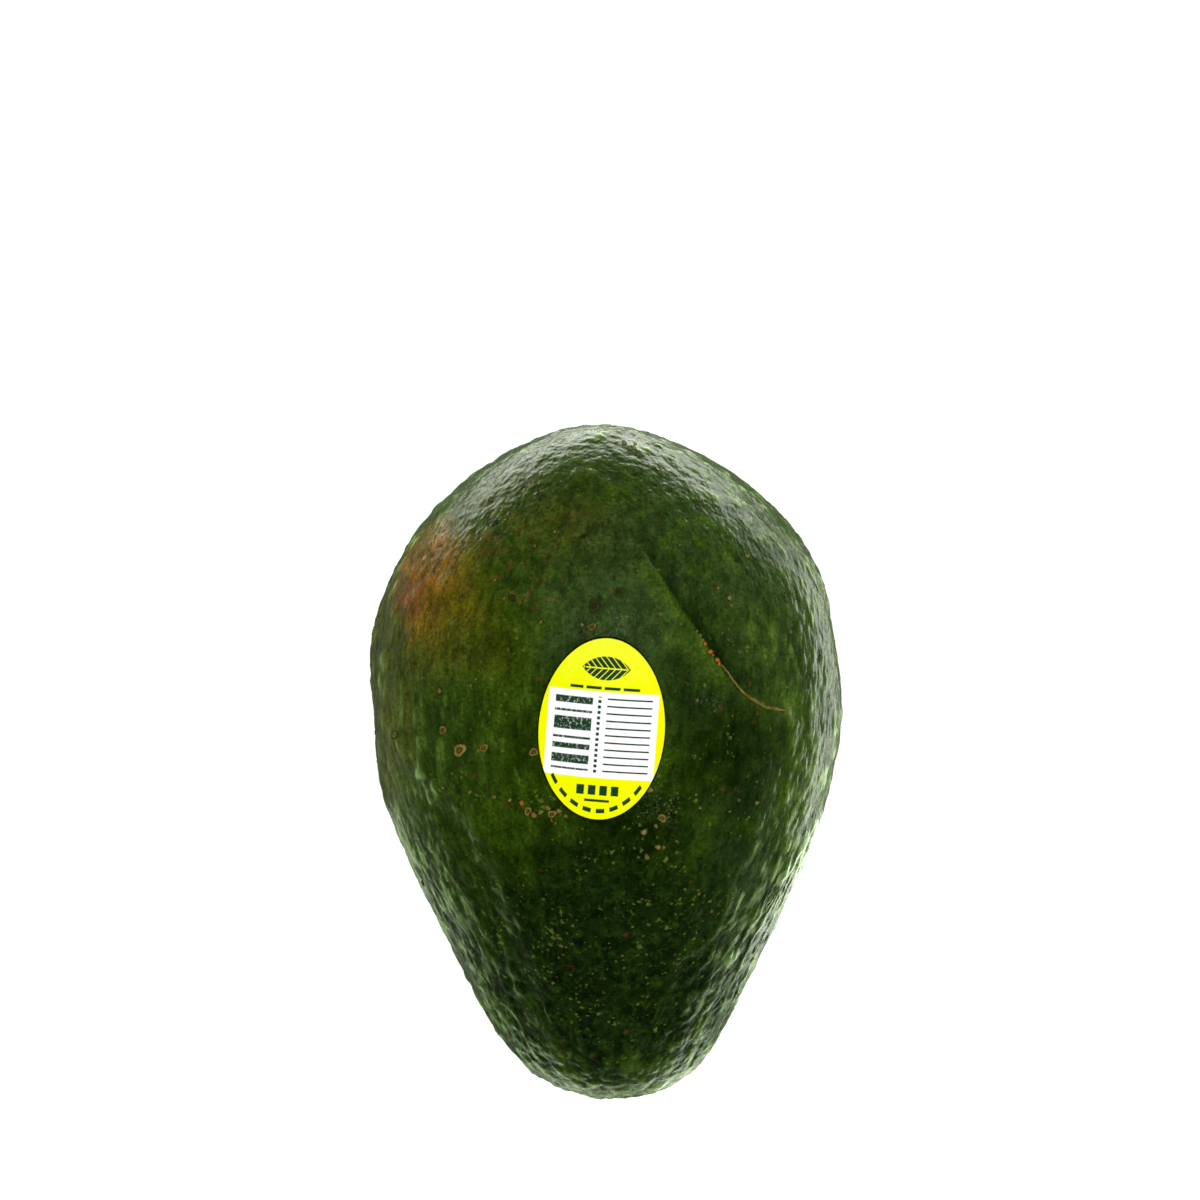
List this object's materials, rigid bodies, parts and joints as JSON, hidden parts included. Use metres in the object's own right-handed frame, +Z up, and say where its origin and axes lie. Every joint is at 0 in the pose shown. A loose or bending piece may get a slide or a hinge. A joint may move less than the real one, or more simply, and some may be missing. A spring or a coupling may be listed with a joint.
{
  "type": "avocado",
  "caption": "Whole avocado lying on its side: pebbled dark green skin, a wide blossom end, a narrow stem end with a clipped stem stub in its hollow, and a thin oval label.",
  "frame": {"origin": "the middle of the part's outline seen from above, on the surface that the fruit rests on", "axes": "+Z up, +Y from the stem end towards the blossom end, +X to the right in the picture's view from above"},
  "size_m": [0.0708, 0.102, 0.0694],
  "materials": {
    "skin": "pebbled fruit skin, satin, dark green with yellow-green and a red-brown blush",
    "stem": "dry, matt, brown",
    "label_film": "thin glossy film, yellow with a white band and dark green print"
  },
  "bodies": {
    "root": {"fruit": "skin", "stem_button": "stem", "label": "label_film"}
  },
  "joints": []
}
